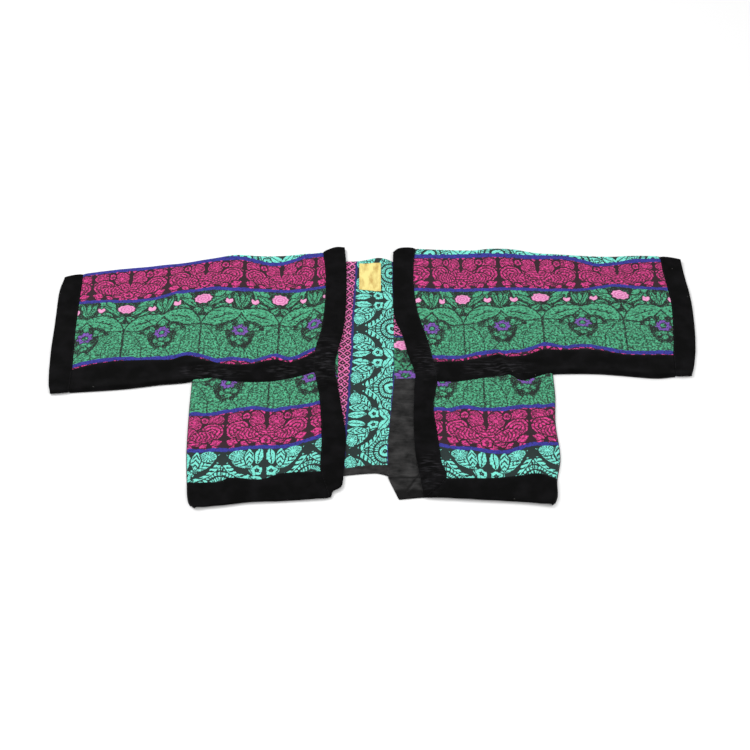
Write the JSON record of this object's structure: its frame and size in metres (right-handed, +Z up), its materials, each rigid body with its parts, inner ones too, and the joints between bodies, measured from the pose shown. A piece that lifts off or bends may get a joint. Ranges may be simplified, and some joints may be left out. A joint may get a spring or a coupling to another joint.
{
  "type": "tapestry jacket",
  "caption": "Open-front T-shaped tapestry jacket with wide sleeves and velvet cuffs, front bands and hem, laid flat front side up.",
  "frame": {"origin": "under the middle of the jacket's box, on the surface it lies on", "axes": "+X from the middle towards the wearer's left cuff, +Y from hem to neck, +Z up from the surface through the back and then the fronts"},
  "size_m": [1.3284, 0.7109, 0.0106],
  "materials": {
    "tapestry": "jacquard tapestry in horizontal bands of turquoise, magenta and green parted by blue stripes, right side",
    "tapestry_wrong_side": "the same tapestry from its wrong side, with the colours of figure and ground changed over",
    "velvet": "black cotton velvet with a short nap",
    "velvet_wrong_side": "charcoal knitted back of the velvet, matt",
    "satin_label": "plain yellow satin, unprinted"
  },
  "bodies": {
    "root": {"yoke_sleeve_right": "tapestry", "cuff_right": "velvet", "underarm_front_right": "velvet", "underarm_back_right": "velvet", "front_right": "tapestry", "front_hem_right": "velvet", "front_band_right": "velvet", "back_side_right": "velvet_wrong_side", "back_hem_right": "velvet_wrong_side", "yoke_sleeve_left": "tapestry", "cuff_left": "velvet", "underarm_front_left": "velvet", "underarm_back_left": "velvet", "front_left": "tapestry", "front_hem_left": "velvet", "front_band_left": "velvet", "back_side_left": "velvet_wrong_side", "back_hem_left": "velvet_wrong_side", "back_centre": "tapestry_wrong_side", "back_hem_centre": "velvet_wrong_side", "label": "satin_label"}
  },
  "joints": []
}
